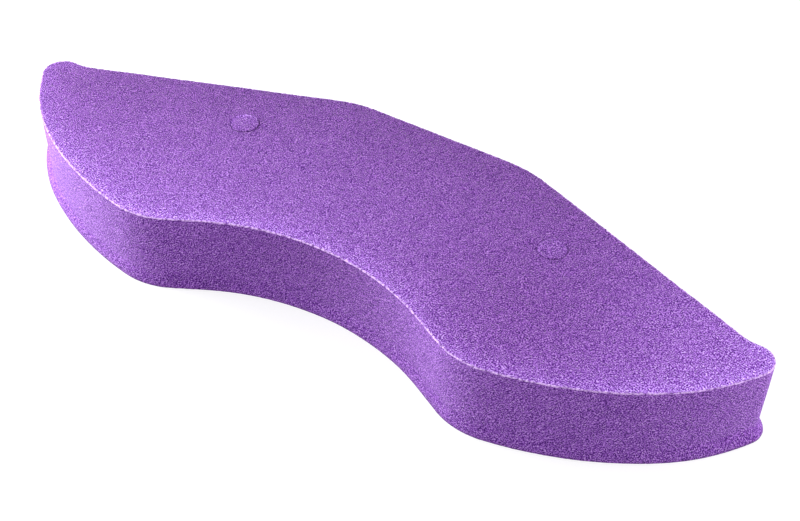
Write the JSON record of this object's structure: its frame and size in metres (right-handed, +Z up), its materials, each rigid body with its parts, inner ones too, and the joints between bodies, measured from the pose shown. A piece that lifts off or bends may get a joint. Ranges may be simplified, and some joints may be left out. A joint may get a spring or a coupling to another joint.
{
  "type": "foam positioning block",
  "caption": "Flat gull-wing block of soft die-cut foam with a hollow front edge, a kinked back edge and round plugs left in their through holes.",
  "frame": {"origin": "on the underside, in the middle of the length and of the depth", "axes": "+X along the length, towards the right tip; +Y towards the straight, kinked back edge; +Z up through the thickness"},
  "size_m": [0.6, 0.191, 0.0658],
  "materials": {
    "purple_foam": "matte"
  },
  "bodies": {
    "block": {"foam_block": "purple_foam"},
    "left_plug": {"left_plug": "purple_foam"},
    "right_plug": {"right_plug": "purple_foam"}
  },
  "joints": [
    {"name": "left_plug_slide", "type": "slide", "parent": "block", "child": "left_plug", "axis": [0, 0, 1], "range_m": [0, 0.075]},
    {"name": "right_plug_slide", "type": "slide", "parent": "block", "child": "right_plug", "axis": [0, 0, 1], "range_m": [0, 0.075]}
  ]
}
